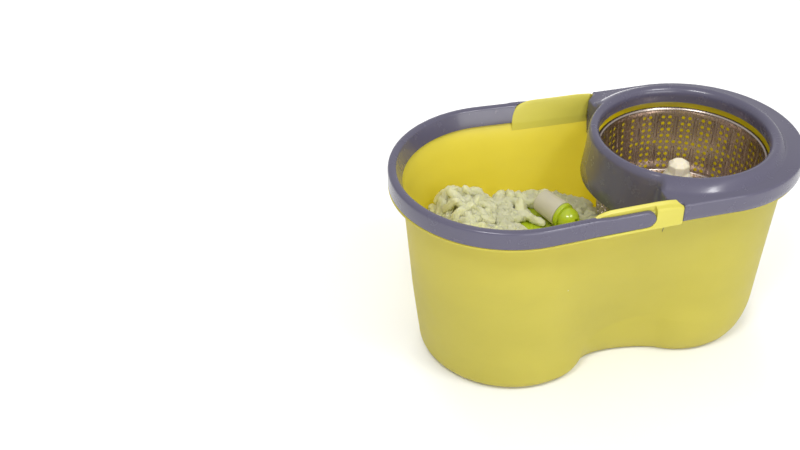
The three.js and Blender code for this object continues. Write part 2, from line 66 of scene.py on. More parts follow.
# Where a shoulder's end meets the guard's ear, as x and inset from the rim outline.
MEETING = ((32.0, 16.6), (39.0, 8.2), (44.5, 3.2))
DRUM = {"floor": 139.8, "radius": 88.8, "top_radius": 92.2, "wall_bottom": 143.4, "wall_top": 219.0}


# ---- meshes ----

def piece(name, verts, faces, body, slot, replaced=(), sharp=40.0, material=""):
    """A mesh object in metres that rides on a body, smooth except where it turns sharply."""
    mesh = bpy.data.meshes.new(name)
    mesh.from_pydata([tuple(c * MM for c in v) for v in verts], [], faces)
    obj = bpy.data.objects.new(name, mesh)
    bpy.context.collection.objects.link(obj)
    finish_mesh(obj, sharp)
    obj.data.materials.append(MATERIALS[material or slot])
    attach(obj, body)
    if replaced:
        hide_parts(*replaced)
    return obj


def finish_mesh(obj, sharp):
    bm = bmesh.new()
    bm.from_mesh(obj.data)
    bmesh.ops.remove_doubles(bm, verts=bm.verts, dist=1e-6)
    bmesh.ops.recalc_face_normals(bm, faces=bm.faces)
    for face in bm.faces:
        face.smooth = True
    for edge in bm.edges:
        edge.smooth = edge.calc_face_angle(0.0) < math.radians(sharp)
    bm.to_mesh(obj.data)
    bm.free()


def bake_modifiers(obj, sharp=40.0):
    graph = bpy.context.evaluated_depsgraph_get()
    mesh = bpy.data.meshes.new_from_object(obj.evaluated_get(graph))
    obj.modifiers.clear()
    obj.data = mesh
    finish_mesh(obj, sharp)


def loft(loops, joined=False, capped=True):
    """Quads that skin equal-length loops of points in order."""
    count = len(loops[0])
    verts = [tuple(p) for loop in loops for p in loop]
    faces = []
    for i in range(len(loops) if joined else len(loops) - 1):
        j = (i + 1) % len(loops)
        for k in range(count):
            m = (k + 1) % count
            faces.append((i * count + k, i * count + m, j * count + m, j * count + k))
    if capped and not joined:
        faces.append(tuple(range(count)))
        faces.append(tuple(range(len(verts) - count, len(verts)))[::-1])
    return verts, faces


def lathe(profile, steps, closed=True, wobble=None):
    """A profile of (radius, z) turned about Z. Points on the axis become poles."""
    verts, rings, faces = [], [], []
    for r, z in profile:
        if r < 1e-6:
            rings.append([len(verts)] * steps)
            verts.append((0.0, 0.0, z))
            continue
        rings.append(list(range(len(verts), len(verts) + steps)))
        for i in range(steps):
            a = 2 * math.pi * i / steps
            k = wobble(a, r, z) if wobble else 1.0
            verts.append((r * k * math.cos(a), r * k * math.sin(a), z))
    last = len(rings) if closed else len(rings) - 1
    for i in range(last):
        low, high = rings[i], rings[(i + 1) % len(rings)]
        for k in range(steps):
            m = (k + 1) % steps
            face = []
            for v in (low[k], low[m], high[m], high[k]):
                if v not in face:
                    face.append(v)
            if len(face) > 2:
                faces.append(tuple(face))
    return verts, faces


def softened(points, radius, steps=3, closed=True):
    """Rounds a polyline's corners. A point may carry its own radius as a third number."""
    out = []
    count = len(points)
    for i, point in enumerate(points):
        here = Vector(point[:2])
        reach = point[2] if len(point) > 2 else radius
        if (not closed and i in (0, count - 1)) or reach <= 0:
            out.append(tuple(here))
            continue
        back = Vector(points[i - 1][:2]) - here
        ahead = Vector(points[(i + 1) % count][:2]) - here
        a = here + back.normalized() * min(reach, back.length * 0.45)
        b = here + ahead.normalized() * min(reach, ahead.length * 0.45)
        for k in range(steps + 1):
            t = k / steps
            out.append(tuple(a * (1 - t) ** 2 + here * 2 * t * (1 - t) + b * t ** 2))
    return out


def moved(verts, offset=(0, 0, 0), turn=None):
    offset = Vector(offset)
    return [tuple((turn @ Vector(v) if turn else Vector(v)) + offset) for v in verts]


def merged(*parts):
    verts, faces = [], []
    for more_verts, more_faces in parts:
        start = len(verts)
        verts += list(more_verts)
        faces += [tuple(i + start for i in face) for face in more_faces]
    return verts, faces


def smoothstep(value, low, high):
    t = min(max((value - low) / (high - low), 0.0), 1.0)
    return t * t * (3 - 2 * t)


def mix(a, b, t):
    return a + (b - a) * t


# ---- the two-lobed outline ----

def waist_of(shape):
    span = shape["x2"] - shape["x1"]
    d1, d2 = shape["r1"] + shape["waist"], shape["r2"] + shape["waist"]
    along = (d1 ** 2 - d2 ** 2 + span ** 2) / (2 * span)
    y = math.sqrt(d1 ** 2 - along ** 2)
    x = shape["x1"] + along
    return x, y, math.atan2(y, along), math.atan2(y, x - shape["x2"])


def arc(x, y, radius, start, end, count, inward):
    """Points of an arc, each with the direction that an inset moves it in."""
    out = []
    for i in range(count):
        a = mix(start, end, i / count)
        c, s = math.cos(a), math.sin(a)
        out.append((x + radius * c, y + radius * s, inward * c, inward * s))
    return out


def outline(shape, lobe=72, waist=28):
    x, y, t1, t2 = waist_of(shape)
    radius = shape["waist"]
    return (
        arc(shape["x2"], 0, shape["r2"], -t2, t2, lobe, -1)
        + arc(x, y, radius, t2 - math.pi, t1 - math.pi, waist, 1)
        + arc(shape["x1"], 0, shape["r1"], t1, 2 * math.pi - t1, lobe, -1)
        + arc(x, -y, radius, math.pi - t1, math.pi - t2, waist, 1)
    )


def wash_path(limit, lobe=84, side=8):
    """The rim outline round the wash lobe, between its two crossings of x = limit."""
    x, y, t1, _ = waist_of(RIM)
    start = -math.acos((limit - x) / RIM["waist"])
    return (
        arc(x, y, RIM["waist"], start, t1 - math.pi, side, 1)
        + arc(RIM["x1"], 0, RIM["r1"], t1, 2 * math.pi - t1, lobe, -1)
        + arc(x, -y, RIM["waist"], math.pi - t1, -start, side, 1)
        + arc(x, -y, RIM["waist"], -start, -start, 1, 1)
    )


def half_width(x, d):
    """How far the rim outline, moved in by d, is from the X axis."""
    cx, cy, _, _ = waist_of(RIM)
    return cy - math.sqrt((RIM["waist"] + d) ** 2 - (x - cx) ** 2)


def rim_reach(angle):
    """The distance from the spindle to the rim outline along an angle, on the wringer side."""
    c, s = math.cos(angle), abs(math.sin(angle))
    shift = SPIN_X - RIM["x2"]
    along = shift * c
    reach = -along + math.sqrt(along ** 2 - shift ** 2 + RIM["r2"] ** 2)
    if SPIN_X + reach * c < RIM["x2"]:
        for _ in range(12):
            reach = half_width(SPIN_X + reach * c, 0) / s
    return reach


# ---- materials ----

def nodes_of(name):
    material = bpy.data.materials.new(name)
    material.use_nodes = True
    tree = material.node_tree
    shader = tree.nodes["Principled BSDF"]
    return material, tree, shader


def link(tree, start, start_socket, end, end_socket):
    tree.links.new(start.outputs[start_socket], end.inputs[end_socket])


def noise_node(tree, coords, scale, detail=3.0, rough=0.5, stretch=None):
    node = tree.nodes.new("ShaderNodeTexNoise")
    node.inputs["Scale"].default_value = scale
    node.inputs["Detail"].default_value = detail
    node.inputs["Roughness"].default_value = rough
    if stretch:
        mapping = tree.nodes.new("ShaderNodeMapping")
        mapping.inputs["Scale"].default_value = stretch
        link(tree, coords, "Object", mapping, "Vector")
        link(tree, mapping, "Vector", node, "Vector")
    else:
        link(tree, coords, "Object", node, "Vector")
    return node


def ramp(tree, source, socket, stops):
    node = tree.nodes.new("ShaderNodeValToRGB")
    node.color_ramp.elements[0].position = stops[0][0]
    node.color_ramp.elements[0].color = (*stops[0][1], 1)
    node.color_ramp.elements[1].position = stops[-1][0]
    node.color_ramp.elements[1].color = (*stops[-1][1], 1)
    for position, colour in stops[1:-1]:
        element = node.color_ramp.elements.new(position)
        element.color = (*colour, 1)
    link(tree, source, socket, node, "Fac")
    return node


def bump(tree, shader, layers):
    """Chains bump nodes: each layer is (node, socket, strength, distance in metres)."""
    previous = None
    for source, socket, strength, distance in layers:
        node = tree.nodes.new("ShaderNodeBump")
        node.inputs["Strength"].default_value = strength
        node.inputs["Distance"].default_value = distance
        link(tree, source, socket, node, "Height")
        if previous:
            link(tree, previous, "Normal", node, "Normal")
        previous = node
    link(tree, previous, "Normal", shader, "Normal")


def shade(colour, k):
    return tuple(min(c * k, 1.0) for c in colour)


def roughness_range(tree, shader, source, low, high):
    node = tree.nodes.new("ShaderNodeMapRange")
    node.inputs["From Min"].default_value = 0.3
    node.inputs["From Max"].default_value = 0.7
    node.inputs["To Min"].default_value = low
    node.inputs["To Max"].default_value = high
    link(tree, source, "Fac", node, "Value")
    link(tree, node, "Result", shader, "Roughness")


def glow_through(tree, shader, colour, amount):
    """Mixes in light that comes through a thin wall."""
    through = tree.nodes.new("ShaderNodeBsdfTranslucent")
    through.inputs["Color"].default_value = (*colour, 1)
    blend = tree.nodes.new("ShaderNodeMixShader")
    blend.inputs["Fac"].default_value = amount
    output = tree.nodes["Material Output"]
    tree.links.new(shader.outputs["BSDF"], blend.inputs[1])
    tree.links.new(through.outputs["BSDF"], blend.inputs[2])
    tree.links.new(blend.outputs["Shader"], output.inputs["Surface"])


def plastic(name, colour, low, high, grain=0.25, scatter=0.0, coat=0.0, streak=1.0, through=None):
    """Moulded plastic: faint flow marks in the colour, a fine moulded grain and scuffed gloss."""
    material, tree, shader = nodes_of(name)
    coords = tree.nodes.new("ShaderNodeTexCoord")
    cloud = noise_node(tree, coords, 9.0, 4.0, 0.55, (1.0, 1.0, 1.8))
    tint = ramp(tree, cloud, "Fac", [
        (0.25, shade(colour, 1 - 0.07 * streak)),
        (0.5, colour),
        (0.8, shade(colour, 1 + 0.06 * streak)),
    ])
    link(tree, tint, "Color", shader, "Base Color")
    scuff = noise_node(tree, coords, 60.0, 5.0, 0.65)
    roughness_range(tree, shader, scuff, low, high)
    fine = noise_node(tree, coords, 1500.0, 2.0)
    wave = noise_node(tree, coords, 35.0, 1.0)
    bump(tree, shader, [(wave, "Fac", 0.12, 0.0012), (fine, "Fac", grain, 0.00006)])
    if scatter:
        shader.inputs["Subsurface Weight"].default_value = scatter
        shader.inputs["Subsurface Radius"].default_value = (1.0, 0.9, 0.25)
        shader.inputs["Subsurface Scale"].default_value = 0.004
    if coat:
        shader.inputs["Coat Weight"].default_value = coat
        shader.inputs["Coat Roughness"].default_value = 0.08
    if through:
        glow_through(tree, shader, through[0], through[1])
    return material


def steel(name, colour, low, high, brushed=(1.0, 1.0, 30.0)):
    """Rolled stainless sheet: long fine scratches, cloudy reflections."""
    material, tree, shader = nodes_of(name)
    shader.inputs["Metallic"].default_value = 1.0
    coords = tree.nodes.new("ShaderNodeTexCoord")
    cloud = noise_node(tree, coords, 22.0, 3.0)
    tint = ramp(tree, cloud, "Fac", [(0.3, shade(colour, 0.82)), (0.7, colour)])
    link(tree, tint, "Color", shader, "Base Color")
    lines = noise_node(tree, coords, 90.0, 4.0, 0.6, brushed)
    roughness_range(tree, shader, lines, low, high)
    bump(tree, shader, [(lines, "Fac", 0.04, 0.0001)])
    return material


def microfibre(name, colour, deep):
    """Looped pile: fuzzy sheen, soft light through the fibres, short pile in the bump."""
    material, tree, shader = nodes_of(name)
    coords = tree.nodes.new("ShaderNodeTexCoord")
    clump = noise_node(tree, coords, 160.0, 4.0, 0.6)
    tint = ramp(tree, clump, "Fac", [(0.3, deep), (0.55, colour), (0.8, shade(colour, 1.05))])
    link(tree, tint, "Color", shader, "Base Color")
    shader.inputs["Roughness"].default_value = 0.95
    shader.inputs["Sheen Weight"].default_value = 0.5
    shader.inputs["Sheen Roughness"].default_value = 0.4
    shader.inputs["Subsurface Weight"].default_value = 0.45
    shader.inputs["Subsurface Radius"].default_value = (1.0, 1.0, 0.7)
    shader.inputs["Subsurface Scale"].default_value = 0.006
    loops = tree.nodes.new("ShaderNodeTexVoronoi")
    loops.inputs["Scale"].default_value = 620.0
    link(tree, coords, "Object", loops, "Vector")
    fuzz = noise_node(tree, coords, 1400.0, 3.0)
    bump(tree, shader, [(loops, "Distance", 0.7, 0.0008), (fuzz, "Fac", 0.5, 0.0003)])
    glow_through(tree, shader, (0.98, 0.97, 0.68), 0.4)
    return material


MATERIALS = {}


def add_material(maker, name, *values, **extras):
    MATERIALS[name] = maker(name, *values, **extras)


def make_materials():
    add_material(
        plastic, "tub_plastic", (0.64, 0.59, 0.105), 0.34, 0.46, 0.3, scatter=0.1,
        through=((0.95, 0.83, 0.035), 0.38))
    # Painted light: a lit copy of the tub plastic for the shoulders, without light through the
    # wall, its colour set for how bright the shoulders read under the lamps.
    add_material(plastic, "tub_plastic_thick", (0.60, 0.54, 0.08), 0.3, 0.42, 0.3, scatter=0.2)
    add_material(plastic, "trim_plastic", (0.098, 0.091, 0.138), 0.2, 0.3, 0.12, coat=0.25)
    add_material(steel, "basket_steel", (0.56, 0.47, 0.41), 0.24, 0.3, (12.0, 12.0, 1.0))
    add_material(steel, "fastener_steel", (0.55, 0.55, 0.56), 0.3, 0.45, (8.0, 8.0, 8.0))
    add_material(plastic, "ivory_plastic", (0.93, 0.84, 0.64), 0.26, 0.36, 0.2, scatter=0.25)
    add_material(plastic, "white_plastic", (0.82, 0.82, 0.78), 0.4, 0.5, 0.3)
    add_material(
        plastic, "lime_plastic", (0.45, 0.56, 0.02), 0.16, 0.26, 0.1, scatter=0.3, coat=0.5)
    add_material(
        plastic, "sleeve_plastic", (0.60, 0.56, 0.42), 0.42, 0.55, 0.3, scatter=0.1, streak=2.5)
    add_material(microfibre, "strand_microfibre", (0.98, 0.97, 0.68), (0.90, 0.92, 0.50))


# ---- tub ----

def step_height(x):
    """The faint crease round the wall, which climbs from the wringer lobe to the wash lobe."""
    return min(max(65.0 - (0.19 if x < 10 else 0.15) * (x - 10.0), 45.0), 84.0)


def bulge(x, z):
    """How far the wall stands out of a straight run from foot to rim, most at the crease."""
    step = step_height(x)
    if z < step:
        return BULGE * max(0.0, (z - FOOT_RADIUS) / (step - FOOT_RADIUS)) ** 0.8
    return BULGE * max(0.0, (WALL_TOP - z) / (WALL_TOP - step))


def sweep(x):
    """How much the foot is the wringer lobe's tall sweep, and not the wash lobe's tight corner."""
    return smoothstep(x, -60.0, 40.0)


def build_tub():
    foot_path, rim_path = outline(FOOT), outline(RIM)
    step = [step_height(p[0]) for p in foot_path]
    turn_top = [mix(FOOT_RADIUS, z, sweep(p[0])) for p, z in zip(foot_path, step)]

    def place(k, z, d):
        low, high = foot_path[k], rim_path[k]
        t = (z - FOOT_RADIUS) / (WALL_TOP - FOOT_RADIUS)
        d -= bulge(low[0], z)
        x0, y0 = low[0] + low[2] * d, low[1] + low[3] * d
        reach = WALL_INSET + d
        x1, y1 = high[0] + high[2] * reach, high[1] + high[3] * reach
        return (mix(x0, x1, t), mix(y0, y1, t), z)

    def wall_between(lows, highs, t, thickness):
        heights = [mix(low, high, t) for low, high in zip(lows, highs)]
        return [place(k, z, thickness) for k, z in enumerate(heights)]

    def corner(angle, thickness):
        c, s = math.cos(math.radians(angle)), math.sin(math.radians(angle))
        loop = []
        for k, top in enumerate(turn_top):
            t = sweep(foot_path[k][0])
            depth = mix(FOOT_RADIUS, SWEEP_DEPTH, t) - thickness
            d = thickness + depth * mix(1 - s, c, CREASE * t)
            x, y, _ = place(k, top, d)
            loop.append((x, y, top - (top - thickness) * c))
        return loop

    rim = [WALL_TOP] * len(foot_path)
    above = [z + 1.0 for z in step]
    outer = [corner(a, 0) for a in (0, 15, 30, 45, 60, 75, 84, 88, 90)]
    outer += [wall_between(turn_top, step, k / 4, 0) for k in (1, 2, 3, 4)]
    outer += [wall_between(above, rim, k / 8, 0) for k in range(9)]

    section = softened([
        (11.2, 222, 2), (7.4, 232, 1), (5.6, 232, 0.5), (5.6, LEDGE_BOTTOM, 0.5),
        (0, LEDGE_BOTTOM, 0.6), (0, 220.5, 0.8), (3, 220.5, 0.6), (3, 237, 1), (4.5, 238.5, 0.8),
        (7, 238.5, 1), (7.9, 236, 1), (13.6, 222, 3),
    ], 1.0)

    def rim_loop(d, z):
        loop = []
        for x, y, nx, ny in rim_path:
            shift = d + (2 * smoothstep(x, -60, 20) if d < 2 else 0.0)
            loop.append((x + nx * shift, y + ny * shift, z))
        return loop

    inner = [wall_between(rim, turn_top, k / 10, WALL) for k in range(10)]
    inner += [corner(a, WALL) for a in (90, 75, 60, 45, 30, 15, 0)]
    loops = outer + [rim_loop(d, z) for d, z in section] + inner
    verts, faces = loft(loops)
    piece("tub_shell", verts, faces, "bucket", "tub_plastic", ["tub"], 50)
    for side, label in ((1, "far"), (-1, "near")):
        build_shoulder(side, label)


ROUND = 2.3


def crest(x):
    """The shoulder's height along the bucket: a quick rounded rise, then a long flat crown."""
    u = min(max((x - SHOULDER["x0"]) / SHOULDER["rise"], 0.0), 1.0)
    rise = (1 - (1 - u) ** ROUND) ** (1 / ROUND)
    drop = 2.2 * max(0.0, (x - 18.0) / 24.5) ** 2
    return mix(SHOULDER["start"], SHOULDER["crest"], rise) - drop


def crest_start(z):
    """Where along the bucket the shoulder's rise reaches a height."""
    v = min(max((z - SHOULDER["start"]) / (SHOULDER["crest"] - SHOULDER["start"]), 0.0), 1.0)
    return SHOULDER["x0"] + SHOULDER["rise"] * (1 - (1 - v ** ROUND) ** (1 / ROUND))


def build_shoulder(side, label):
    x0, x1 = SHOULDER["x0"], SHOULDER["x1"]
    stations = [mix(x0, x1, (k / 48) ** 1.6) for k in range(49)]
    foot = SHOULDER["foot"]

    def section(x):
        top = crest(x)
        lean = mix(16.3, 9.3, (top - foot) / (SHOULDER["crest"] - foot))
        points = softened([
            (0.2, LEDGE_BOTTOM, 0.5), (0.2, top - 5.0, 1.8), (5.6, top - 3.4, 3.0),
            (9.0, top + 0.2, 3.0), (lean + 0.8, top - 2.6, 2.5), (16.4, foot, 1.2),
            (17.9, 212.6, 0), (15.6, 213.5, 0), (12.6, LEDGE_BOTTOM, 0),
        ], 2.0, 5)
        return [(x, side * half_width(x, d), z) for d, z in points]

    verts, faces = loft([section(x) for x in stations])
    # The shoulders take the lit copy of the tub plastic: painted light.
    shoulder = piece(
        f"tub_shoulder_{label}", verts, faces, "bucket", "tub_plastic", [], 50, "tub_plastic_thick")
    radius = ARM["radius"] + 0.6
    side_view = [(x0 - 3, PIVOT_Z - radius)]
    for k in range(19):
        a = math.radians(-90 + 5 * k)
        side_view.append((PIVOT_X + radius * math.cos(a), PIVOT_Z + radius * math.sin(a)))
    side_view += [(PIVOT_X + radius, 262.0), (x0 - 3, 262.0)]
    recess = []
    for d in (-6.0, ARM["thickness"] + 0.6):
        recess.append([(x, side * half_width(x, d), z) for x, z in side_view])
    plan = [(MEETING[0][0], 95.0)] + [(x, half_width(x, d)) for x, d in MEETING]
    plan += [(x1 + 1.5, 127.0), (x1 + 1.5, 95.0)]
    end = [[(x, side * y, z) for x, y in plan] for z in (205.0, 262.0)]
    carve(shoulder, [loft(recess), loft(end)], 0.7)


def carve(obj, tools, bevel_width=0.0):
    """Cuts closed shapes out of an object, and softens the edges if a width is given."""
    cutters = []
    for verts, faces in tools:
        mesh = bpy.data.meshes.new("cutter")
        mesh.from_pydata([tuple(c * MM for c in v) for v in verts], [], faces)
        cutter = bpy.data.objects.new("cutter", mesh)
        bpy.context.collection.objects.link(cutter)
        finish_mesh(cutter, 30)
        cut = obj.modifiers.new("cut", "BOOLEAN")
        cut.object = cutter
        cut.operation = "DIFFERENCE"
        cut.solver = "EXACT"
        cutters.append(cutter)
    if bevel_width:
        bevel = obj.modifiers.new("bevel", "BEVEL")
        bevel.width = bevel_width * MM
        bevel.segments = 2
        bevel.limit_method = "ANGLE"
        bevel.angle_limit = math.radians(50)
    bake_modifiers(obj, 45)
    for cutter in cutters:
        bpy.data.objects.remove(cutter)


# ---- handle ----

def build_handle():
    section = softened([
        (0, BAND_BOTTOM, 0.5), (0, 240.9, 3.2), (5, BAND_TOP + 0.3, 2.5), (9.0, 240.9, 2.0),
        (16.3, 222.2, 0.7), (14.6, 222.2, 0.6), (8.4, 237.4, 0.6), (7.2, 239.1, 0.5),
        (3.4, 239.1, 0.6), (2.5, 238.2, 0.4), (2.5, BAND_BOTTOM, 0.5),
    ], 0.8, 4)
    path = wash_path(ARM["start"] - 1.0)
    loops = [[(x + nx * d, y + ny * d, z) for d, z in section] for x, y, nx, ny in path]
    for loop, side in ((0, 1), (-1, -1)):
        ends = [(crest_start(z) - 0.6, d, z) for d, z in section]
        loops[loop] = [(x, side * half_width(x, d), z) for x, d, z in ends]
    parts = [loft(loops)]
    for side in (1, -1):
        parts.append(handle_arm(side))
    verts, faces = merged(*parts)
    piece("handle_loop", verts, faces, "handle", "trim_plastic", ["carry_handle"], 45)


def handle_arm(side):
    radius = ARM["radius"]
    stations = [mix(ARM["start"], PIVOT_X, k / 16) for k in range(17)]
    stations += [PIVOT_X + radius * math.sin(math.radians(a)) for a in range(8, 89, 8)]

    def section(x):
        round_end = math.sqrt(radius ** 2 - max(x - PIVOT_X, 0.0) ** 2)
        top = PIVOT_Z + mix(round_end, BAND_TOP - PIVOT_Z, smoothstep(-x, 28, 50))
        bottom = PIVOT_Z - round_end
        points = softened([
            (0, bottom, 1.2), (0, top, 2.4),
            (ARM["thickness"], top, 1.0), (ARM["thickness"], bottom, 0.6),
        ], 1.0, 3)
        return [(x, side * half_width(x, d), z) for d, z in points]

    arm = loft([section(x) for x in stations])
    r, length = PEG["radius"], PEG["length"]
    side_view = [(0, 0, 0), (r, 0, 0.5), (r, length, 0.5), (0, length, 0)]
    peg = lathe(softened(side_view, 0.5, 2, False), 32, False)
    turn = Matrix.Rotation(math.radians(-90), 3, "X")
    peg_verts = moved(peg[0], (PIVOT_X, PEG["start"], PIVOT_Z), turn)
    if side < 0:
        peg_verts = [(x, -y, z) for x, y, z in peg_verts]
    return merged(arm, (peg_verts, peg[1]))


# ---- splash guard ----

def guard_corners():
    """The corners of the guard's plan at one side of the bucket, from the band's end inwards."""
    corners = [(GUARD_START, half_width(GUARD_START, 0.0))]
    corners += [(x + 0.6, half_width(x, d + 0.9)) for x, d in reversed(MEETING)]
    return corners + [(corners[-1][0], 0.0)]


def crossing(angle, a, b):
    """How far from the spindle a direction meets the line from a to b, and where along the line."""
    c, s = math.cos(angle), math.sin(angle)
    ex, ey = b[0] - a[0], b[1] - a[1]
    rx, ry = a[0] - SPIN_X, a[1]
    det = c * ey - s * ex
    return (rx * ey - ry * ex) / det, (rx * s - ry * c) / det


def guard_edge(angle):
    """How far the guard reaches from the spindle and how low its edge hangs there."""
    angle = abs(angle)
    corners = guard_corners()
    if angle <= math.atan2(corners[0][1], corners[0][0] - SPIN_X) + 1e-6:
        return rim_reach(angle), BAND_BOTTOM
    for k, (a, b) in enumerate(zip(corners[:3], corners[1:4])):
        reach, t = crossing(angle, a, b)
        if t <= 1 + 1e-6:
            return reach, mix(BAND_BOTTOM, WING_BOTTOM, t ** 3) if k == 2 else BAND_BOTTOM
    reach = max(SKIRT, crossing(angle, corners[3], corners[4])[0])
    return reach, mix(SKIRT_BOTTOM, WING_BOTTOM, smoothstep(reach, SKIRT, SKIRT + 14))


def guard_angles():
    """Angles round the spindle, with one at each corner of the guard's plan."""
    places = guard_corners()
    corners = [math.atan2(y, x - SPIN_X) for x, y in places[:4]]
    corners.append(math.pi - math.acos((SPIN_X - places[4][0]) / SKIRT))
    half = [0.0]
    previous, counts = 0.0, (72, 3, 4, 8, 12, 36)
    for target, count in zip(corners + [math.pi], counts):
        half += [mix(previous, target, (k + 1) / count) for k in range(count)]
        previous = target
    return half + [-a for a in half[-2:0:-1]]


def guard_section(angle):
    reach, low = guard_edge(angle)
    room = min(max((reach - SKIRT) / 12.0, 0.0), 1.0)
    ease = room * room * (3 - 2 * room)
    deck = DECK
    flare = mix(4.4, 0.0, ease)
    edge = reach
    foot = min(mix(112.0, 118.5, smoothstep(math.degrees(abs(angle)), 75, 108)), edge - 3.0)

    def slope(t):
        return mix(102.4, foot, t)

    outer = [
        (95.5, 232.0), (94.6, 238.0), (93.8, 241.0), (93.6, 243.6), (94.2, 246.6), (95.7, 249.2),
        (97.8, 250.8), (100.2, 251.5),
        (mix(102.2, 102.6, ease), mix(251.0, 251.3, ease)),
        (mix(103.6, slope(0.28), ease), mix(249.2, 249.6, ease)),
        (mix(105.0, slope(0.55), ease), mix(247.0, 246.8, ease)),
        (mix(105.8, slope(0.8), ease), mix(244.6, 243.8, ease)),
        (mix(106.0, slope(0.94), ease), mix(242.6, 242.1, ease)),
        (mix(106.1, foot + 0.9, ease), mix(241.0, deck, ease)),
        (mix(106.2, max(edge - 3.2, foot + 1.0), ease), mix(239.5, deck, ease)),
        (mix(106.3, edge - 1.3, ease), mix(237.5, deck - 0.35, ease)),
        (mix(106.35, edge - 0.35, ease), mix(235.0, deck - 1.3, ease)),
        (mix(106.4, edge, ease), mix(232.0, deck - 3.0, ease)),
        (edge + 0.18 * flare, mix(222.0, mix(deck, low, 0.4), ease)),
        (edge + 0.5 * flare, mix(208.0, mix(deck, low, 0.7), ease)),
        (edge + flare, low + 0.8),
        (edge + flare - 0.6, low),
        (edge + flare - 1.6, low),
        (edge + flare - 2.2, low + 0.8),
    ]
    inner = [
        (edge + 0.5 * flare - 2.2, mix(208.0, mix(deck, low, 0.7), ease)),
        (edge + 0.18 * flare - 2.2, mix(222.0, mix(deck, low, 0.4), ease)),
        (mix(104.1, edge - 2.3, ease), mix(235.0, deck - 3.6, ease)),
        (mix(103.7, min(foot - 1.5, edge - 4), ease), mix(240.0, deck - 2.6, ease)),
        (mix(102.6, slope(0.62), ease), mix(245.0, 243.4, ease)),
        (mix(101.2, slope(0.1), ease), mix(247.6, 248.4, ease)),
        (99.4, 249.2), (97.6, 247.8), (96.0, 244.4), (96.6, 239.0), (97.7, 232.0),
    ]
    return outer + inner


def build_guard():
    loops = []
    for angle in guard_angles():
        c, s = math.cos(angle), math.sin(angle)
        loops.append([(SPIN_X + r * c, r * s, z) for r, z in guard_section(angle)])
    verts, faces = loft(loops, joined=True)
    piece("guard_shell", verts, faces, "bucket", "trim_plastic", ["splash_guard"], 55)


# ---- basket ----

COLUMNS, SEAM, SEAM_AT = 72, math.radians(4.3), math.radians(106.1)
ROW_PITCH, TOP_ROW = 8.35, 213.8
HOLE_ROWS, MIDDLE_ROW = 9, 4
HOLE, DRUM_SHEET = 2.25, 0.9
BEAD = {"radius": 93.5, "height": 223.5, "wire": 2.9}
PAN_TOP, FLOOR_BORE = 140.8, 12.0
COLUMN_PITCH = (2 * math.pi - SEAM) / COLUMNS


def wall_radius(z):
    low, high = DRUM["wall_bottom"], DRUM["wall_top"]
    return mix(DRUM["radius"], DRUM["top_radius"], (z - low) / (high - low))


def plain_column(col):
    """Whether a column has no holes but the middle one: every third, whose place the ribs take."""
    return col % 3 == 1


def column_angle(col):
    return SEAM_AT + SEAM / 2 + COLUMN_PITCH * (col + 0.5)


def perforated_wall():
    """The drum's wall: cells with one hole each, and a plain strip where the sheet is joined."""
    verts, faces, found = [], [], {}

    def vertex(u, z, r):
        key = (round(u % (2 * math.pi), 5), round(z, 3), round(r, 3))
        if key not in found:
            found[key] = len(verts)
            verts.append((r * math.cos(u), r * math.sin(u), z))
        return found[key]

    strips = [(column_angle(col), COLUMN_PITCH, plain_column(col)) for col in range(COLUMNS)]
    strips.append((SEAM_AT, SEAM, None))
    for centre, pitch, plain in strips:
        for row in range(HOLE_ROWS):
            z = TOP_ROW - ROW_PITCH * row
            holed = plain is not None and (not plain or row == MIDDLE_ROW)
            border, ring = [], []
            for k in range(16):
                a = 2 * math.pi * (k + 0.5) / 16
                ca, sa = math.cos(a), math.sin(a)
                reach = 1 / max(abs(ca), abs(sa))
                side = [ca * reach, sa * reach]
                side = [math.copysign(min(abs(round(v * 4) / 4), 1), v) for v in side]
                border.append((centre + side[0] * pitch / 2, z + side[1] * ROW_PITCH / 2))
                ring.append((centre + ca * HOLE / wall_radius(z), z + sa * HOLE))
            for skin in (0.0, -DRUM_SHEET):
                outer_ids = [vertex(u, h, wall_radius(h) + skin) for u, h in border]
                if not holed:
                    faces.append(tuple(dict.fromkeys(outer_ids)))
                    continue
                ring_ids = [vertex(u, h, wall_radius(h) + skin) for u, h in ring]
                for k in range(16):
                    m = (k + 1) % 16
                    face = (outer_ids[k], outer_ids[m], ring_ids[m], ring_ids[k])
                    faces.append(tuple(dict.fromkeys(face)))
            if holed:
                low = [vertex(u, h, wall_radius(h)) for u, h in ring]
                high = [vertex(u, h, wall_radius(h) - DRUM_SHEET) for u, h in ring]
                for k in range(16):
                    m = (k + 1) % 16
                    faces.append((low[k], low[m], high[m], high[k]))
    return verts, faces


def rib(angle, z0, z1, width=4.4, height=0.5):
    """A pressed rib on the wall's inside: a long flat-topped bump with round ends."""
    loops = []
    for k in range(13):
        t = k / 12
        z = mix(z0, z1, t)
        swell = min(1.0, 4.2 * math.sqrt(max(t * (1 - t), 0.0)) + 0.02)
        r = wall_radius(z) - DRUM_SHEET
        loop = []
        for j in range(9):
            a = math.pi * j / 8
            across = width * swell * math.cos(a) / 2
            lift = math.sin(a) ** 0.5 if 0 < j < 8 else 0.0
            loop.append((angle + across / r, r + 0.3 - (0.3 + height * swell) * lift, z))
        loops.append([(rad * math.cos(u), rad * math.sin(u), h) for u, rad, h in loop])
    return loft(loops)


